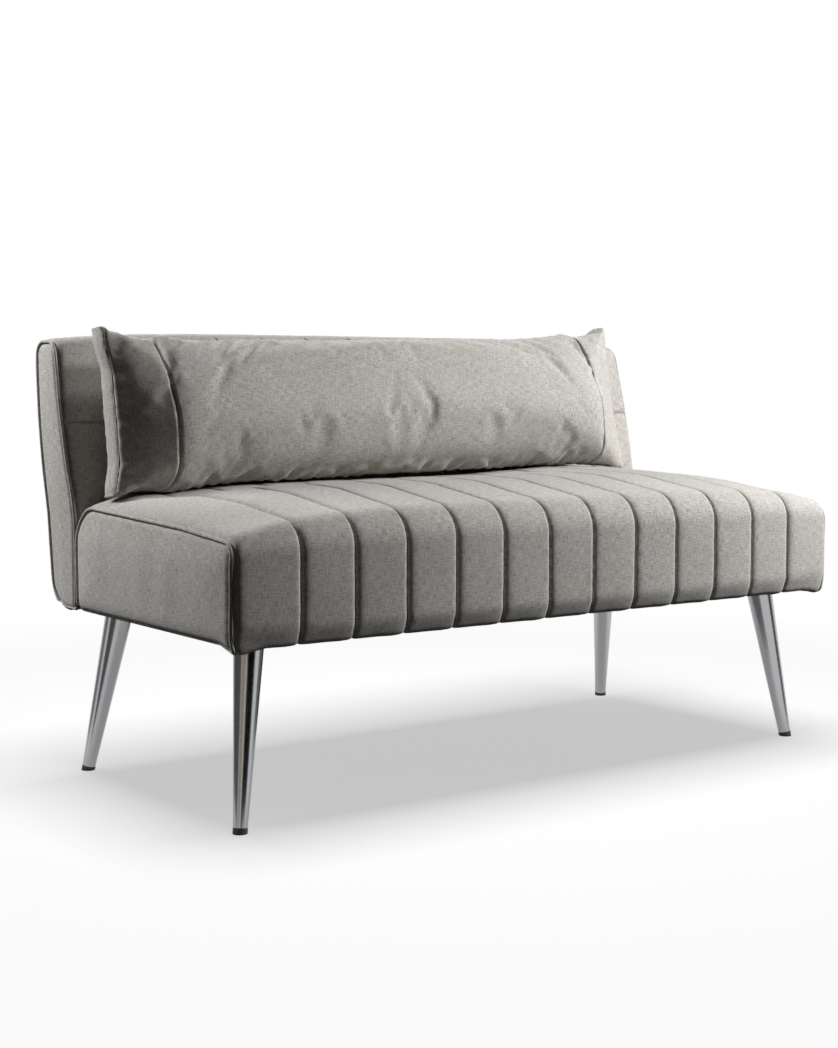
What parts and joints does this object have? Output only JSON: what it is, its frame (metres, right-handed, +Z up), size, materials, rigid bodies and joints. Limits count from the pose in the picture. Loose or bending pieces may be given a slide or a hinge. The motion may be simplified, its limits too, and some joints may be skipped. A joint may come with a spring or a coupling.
{
  "type": "armless loveseat sofa",
  "caption": "Armless loveseat with channelled seat and back, piped end panels, splayed tapered metal legs and a loose lumbar bolster.",
  "frame": {"origin": "on the floor, under the middle of the sofa's outer box", "axes": "+X along the sofa's length to the sitter's left, +Y from front to back, +Z up"},
  "size_m": [1.3702, 0.7177, 0.83],
  "materials": {
    "cover_fabric": "woven, matt, warm grey linen look",
    "piping_fabric": "woven, matt, on a cord",
    "foam": "open cell foam and polyester batting",
    "bolster_filling": "polyester fibre filling",
    "timber": "planed softwood and plywood, unfinished",
    "board": "pressed fibre board",
    "webbing": "woven elastic webbing",
    "spring_pad": "needled felt",
    "dust_cover_cloth": "spun bonded black cloth",
    "spring_steel": "drawn, oiled",
    "zinc_steel": "zinc plated",
    "chrome": "polished chrome plating",
    "black_plastic": "moulded, matt"
  },
  "bodies": {
    "sofa": {"front_left_leg": "chrome", "front_left_glide": "black_plastic", "front_right_leg": "chrome", "front_right_glide": "black_plastic", "rear_left_leg": "chrome", "rear_left_glide": "black_plastic", "rear_right_leg": "chrome", "rear_right_glide": "black_plastic", "leg_plates": "zinc_steel", "leg_screws": "zinc_steel", "seat_front_rail": "timber", "seat_rear_rail": "timber", "seat_end_rail_right": "timber", "seat_end_rail_left": "timber", "seat_cross_rails": "timber", "corner_blocks": "timber", "leg_board_left": "timber", "leg_board_right": "timber", "back_bolts": "zinc_steel", "back_bolt_washers": "zinc_steel", "back_bolt_nuts": "zinc_steel", "seat_springs": "spring_steel", "spring_clips": "zinc_steel", "spring_tie_rods": "spring_steel", "seat_spring_pad": "spring_pad", "seat_foam": "foam", "seat_channel_pad": "foam", "seat_channel_cover": "cover_fabric", "seat_side_pad_right": "foam", "seat_side_pad_left": "foam", "seat_side_cover_right": "cover_fabric", "seat_side_cover_left": "cover_fabric", "seat_welt_right": "piping_fabric", "seat_welt_left": "piping_fabric", "dust_cover": "dust_cover_cloth", "back_stile_right": "timber", "back_stile_left": "timber", "back_bottom_rail": "timber", "back_middle_rail": "timber", "back_top_rail": "timber", "back_centre_stiles": "timber", "back_board": "board", "back_webbing": "webbing", "back_foam": "foam", "back_channel_pad": "foam", "back_side_pad_right": "foam", "back_side_pad_left": "foam", "back_channel_cover": "cover_fabric", "back_rear_cover": "cover_fabric", "back_side_cover_right": "cover_fabric", "back_side_cover_left": "cover_fabric", "back_welt_right": "piping_fabric", "back_welt_left": "piping_fabric"},
    "bolster": {"bolster_cover": "cover_fabric", "bolster_fill": "bolster_filling", "bolster_end_panel_right": "cover_fabric", "bolster_end_panel_left": "cover_fabric", "bolster_welt_right": "piping_fabric", "bolster_welt_left": "piping_fabric", "bolster_seam_cords": "piping_fabric"}
  },
  "joints": [
    {"name": "bolster_lift", "type": "slide", "parent": "sofa", "child": "bolster", "axis": [0, 0, 1], "range_m": [0, 0.45]}
  ]
}
